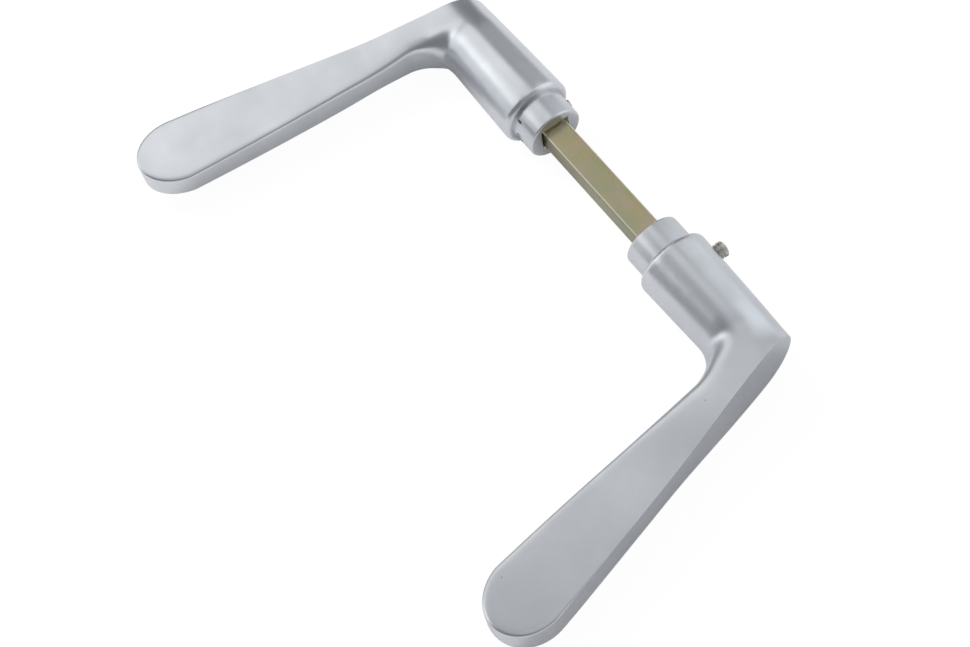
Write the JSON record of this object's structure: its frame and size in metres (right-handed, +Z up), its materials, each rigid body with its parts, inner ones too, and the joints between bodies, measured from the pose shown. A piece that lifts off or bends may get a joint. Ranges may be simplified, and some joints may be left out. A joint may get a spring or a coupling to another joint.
{
  "type": "door lever",
  "caption": "Door lever set with flat tapering blades on round necks, pinned to a square spindle at one end and clamped on it by a slotted grub screw at the other.",
  "frame": {"origin": "on the spindle axis, in the middle plane of the door", "axes": "+Y along the spindle towards the lever that is pinned to it, +Z up, and both blades point to -X"},
  "size_m": [0.1195, 0.2024, 0.023],
  "materials": {
    "lever_aluminium": "satin anodised",
    "spindle_steel": "yellow passivated zinc plate",
    "pin_steel": "bright drawn",
    "screw_steel": "dull zinc plate"
  },
  "bodies": {
    "spindle_lever": {"lever_fixed": "lever_aluminium", "spindle": "spindle_steel", "cross_pin": "pin_steel"},
    "loose_lever": {"lever_loose": "lever_aluminium"},
    "clamp_screw": {"grub_screw": "screw_steel"}
  },
  "joints": [
    {"name": "lever_slide", "type": "slide", "parent": "spindle_lever", "child": "loose_lever", "axis": [0, -1, 0], "range_m": [-0.01, 0.02]},
    {"name": "grub_screw_feed", "type": "slide", "parent": "loose_lever", "child": "clamp_screw", "axis": [1, 0, 0], "range_m": [-0.0032, 0]}
  ]
}
